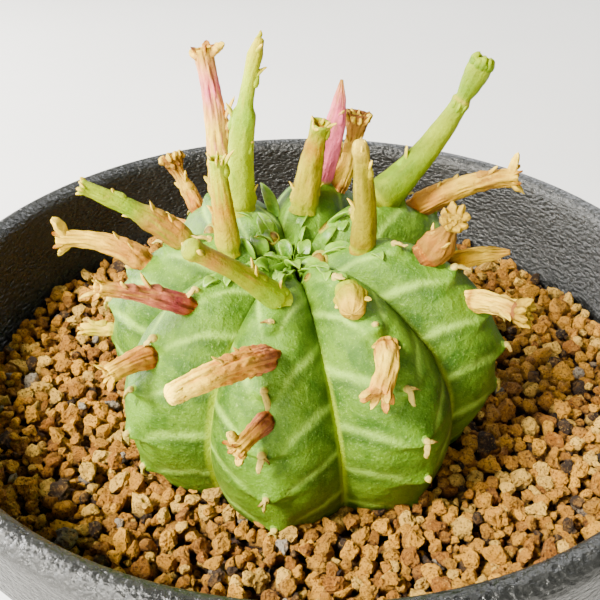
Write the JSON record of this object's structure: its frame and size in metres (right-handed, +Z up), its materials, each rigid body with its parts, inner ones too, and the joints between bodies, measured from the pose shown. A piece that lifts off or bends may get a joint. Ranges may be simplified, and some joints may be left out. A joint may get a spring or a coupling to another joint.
{
  "type": "potted euphorbia",
  "caption": "Ribbed globe euphorbia with old and fresh flower stalks, growing in granular soil in a round black plastic pot.",
  "frame": {"origin": "centre of the pot's foot, on the surface it stands on", "axes": "+Z up along the pot's axis, -Y towards the side that the plant leans to"},
  "size_m": [0.12, 0.12, 0.1233],
  "materials": {
    "pot_plastic": "black moulded plastic with a leather grain, satin",
    "net_plastic": "black plastic net",
    "soil": "baked clay granules, rough, orange brown",
    "plant_skin": "green plant skin with a thin wax bloom and pale cross bands",
    "young_leaf": "fresh green leaf",
    "stalk_lime": "fresh lime green stalk",
    "stalk_yellow": "yellow ageing stalk",
    "stalk_cream": "dry cream coloured stalk, matt",
    "stalk_pink": "dry pink brown stalk, matt",
    "stalk_brown": "dead brown stalk, matt"
  },
  "bodies": {
    "root": {"pot": "pot_plastic", "drain_net": "net_plastic", "soil_bed": "soil", "plant_body": "plant_skin", "flower_stalk_01": "stalk_cream", "flower_stalk_02": "stalk_lime", "flower_stalk_03": "stalk_yellow", "flower_stalk_04": "stalk_lime", "flower_stalk_05": "stalk_lime", "flower_stalk_06": "stalk_cream", "flower_stalk_07": "stalk_pink", "flower_stalk_08": "stalk_pink", "flower_stalk_09": "stalk_cream", "flower_stalk_10": "stalk_pink", "flower_stalk_11": "stalk_cream", "flower_stalk_12": "stalk_yellow", "flower_stalk_13": "stalk_yellow", "flower_stalk_14": "stalk_yellow", "flower_stalk_15": "stalk_pink", "flower_stalk_16": "stalk_brown", "flower_stalk_17": "stalk_lime", "flower_stalk_18": "stalk_cream", "flower_stalk_19": "stalk_pink", "flower_stalk_20": "stalk_cream", "flower_stalk_21": "stalk_brown", "flower_stalk_22": "stalk_brown", "flower_stalk_23": "stalk_yellow", "flower_stalk_24": "stalk_brown", "flower_stalk_25": "stalk_cream", "young_leaf_01": "young_leaf", "young_leaf_02": "young_leaf", "young_leaf_03": "young_leaf", "young_leaf_04": "young_leaf", "young_leaf_05": "young_leaf", "young_leaf_06": "young_leaf", "young_leaf_07": "young_leaf", "young_leaf_08": "young_leaf"}
  },
  "joints": []
}
